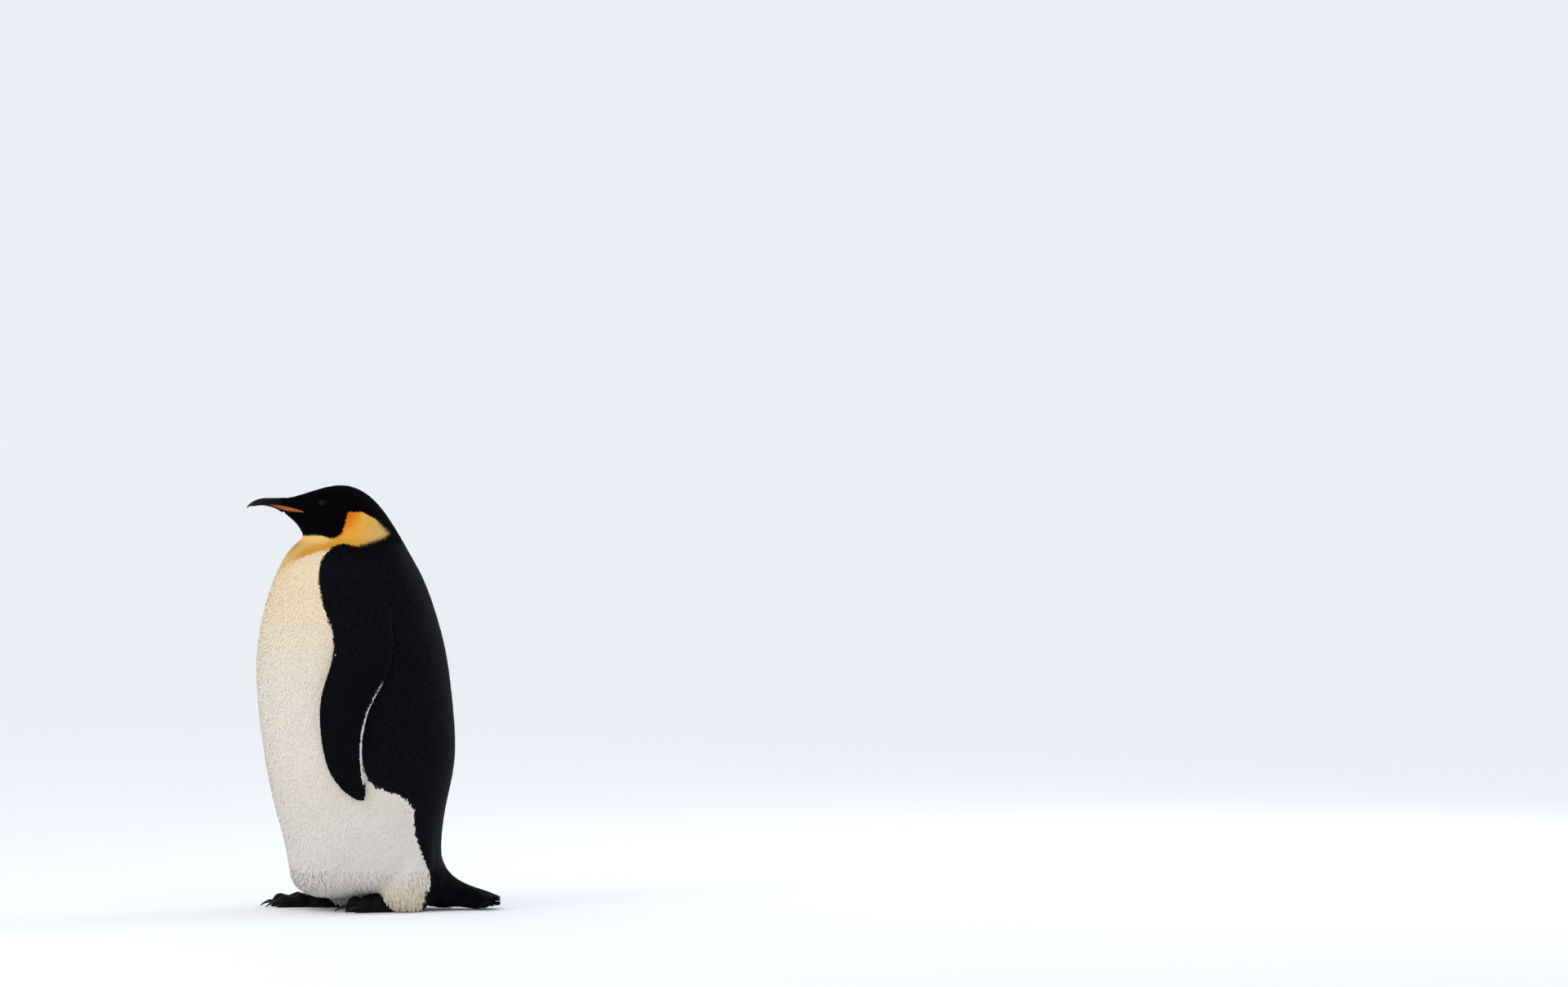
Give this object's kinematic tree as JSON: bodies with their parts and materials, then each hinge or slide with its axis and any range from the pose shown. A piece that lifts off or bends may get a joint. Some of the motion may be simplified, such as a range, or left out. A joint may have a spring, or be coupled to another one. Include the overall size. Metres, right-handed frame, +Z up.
{
  "type": "emperor penguin",
  "caption": "Emperor penguin standing in mid-step, right foot forward, flippers at its sides, neck drawn in and tail tip on the ground.",
  "frame": {"origin": "middle of the bounding box on the floor, between the feet", "axes": "+Z up the body; the bird faces -Y; +X is the bird's left side"},
  "size_m": [0.42, 0.604, 1],
  "materials": {
    "black_feather": "short black head and tail feathers with a dull satin sheen",
    "blue_black_feather": "dense scale-like blue-black feathers, satin",
    "white_feather": "soft cream-white belly feathers, matt",
    "golden_feather": "golden ear patch and breast feathers, matt",
    "horn": "black horn, semi-gloss with fine lengthwise grain",
    "bill_plate": "smooth salmon-orange plate, semi-gloss",
    "foot_skin": "black scaly skin, dull",
    "eye": "wet dark brown eye, glossy"
  },
  "bodies": {
    "root": {"head": "black_feather", "neck": "black_feather", "trunk": "white_feather", "tail": "black_feather", "flipper_left": "blue_black_feather", "leg_left": "white_feather", "foot_left": "foot_skin", "eye_left": "eye", "bill_plate_left": "bill_plate", "claw_left_inner": "horn", "claw_left_middle": "horn", "claw_left_outer": "horn", "flipper_right": "blue_black_feather", "leg_right": "white_feather", "foot_right": "foot_skin", "eye_right": "eye", "bill_plate_right": "bill_plate", "claw_right_inner": "horn", "claw_right_middle": "horn", "claw_right_outer": "horn", "bill_upper": "horn", "bill_lower": "horn"}
  },
  "joints": []
}
